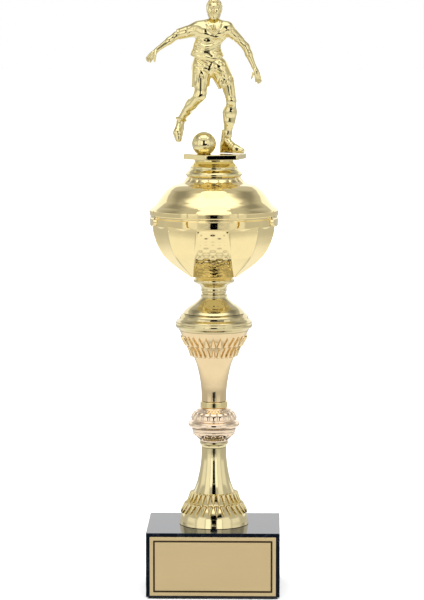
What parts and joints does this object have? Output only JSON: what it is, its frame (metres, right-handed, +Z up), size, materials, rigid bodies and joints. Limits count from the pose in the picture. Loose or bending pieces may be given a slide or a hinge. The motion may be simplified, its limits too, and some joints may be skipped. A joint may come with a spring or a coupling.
{
  "type": "figure trophy",
  "caption": "Figure trophy: stone block with engraving plate, turned column, lidded cup and a footballer who screws onto the rod.",
  "frame": {"origin": "centre of the felt's underside, on the surface the trophy stands on", "axes": "+Z up along the threaded rod, -Y towards the engraving plate and the front, +X to the viewer's right"},
  "size_m": [0.1018, 0.0984, 0.4535],
  "materials": {
    "black_stone": "polished black marble",
    "felt": "thin self-adhesive felt",
    "tape": "double-sided adhesive sheet",
    "satin_gold_plate": "satin gold lacquered sheet with a printed border line",
    "zinc_steel": "zinc plated",
    "brass": "machined",
    "pale_gold_plating": "pale greenish gold metallised plastic, mirror bright",
    "rose_gold_plating": "rose champagne metallised plastic, mirror bright",
    "yellow_gold_plating": "yellow gold metallised plastic, mirror bright",
    "peach_gold_plating": "peach gold metallised plastic, mirror bright",
    "green_gold_plating": "greenish gold metallised plastic, mirror bright",
    "figure_gold_plating": "pale gold metallised plastic, mirror bright"
  },
  "bodies": {
    "stand": {"base_felt": "felt", "stone_base": "black_stone", "plate_tape": "tape", "engraving_plate": "satin_gold_plate", "threaded_rod": "zinc_steel", "bottom_washer": "zinc_steel", "bottom_nut": "zinc_steel", "cup_washer": "zinc_steel", "cup_nut": "zinc_steel", "lower_riser": "pale_gold_plating", "lower_collar": "pale_gold_plating", "knop_lower": "rose_gold_plating", "knop_upper": "rose_gold_plating", "spacer_ring": "yellow_gold_plating", "upper_riser": "peach_gold_plating", "riser_cap": "green_gold_plating", "cup_foot": "green_gold_plating", "cup_bowl": "yellow_gold_plating", "cup_lid": "yellow_gold_plating", "figure_riser": "figure_gold_plating"},
    "insert": {"figure_insert": "brass"},
    "figure": {"figure_plinth": "figure_gold_plating", "soccer_ball": "figure_gold_plating", "player_figure": "figure_gold_plating"}
  },
  "joints": [
    {"name": "thread_lift", "type": "slide", "parent": "stand", "child": "insert", "axis": [0, 0, 1], "range_m": [0, 0.00699]},
    {"name": "figure_turn", "type": "hinge", "parent": "insert", "child": "figure", "pos_m": [0, 0, 0.3325], "axis": [0, 0, 1], "range_deg": [0, 1980]}
  ],
  "couplings": [
    {"joint": "thread_lift", "follows": "figure_turn", "m_per_rad": 0.00020213}
  ]
}
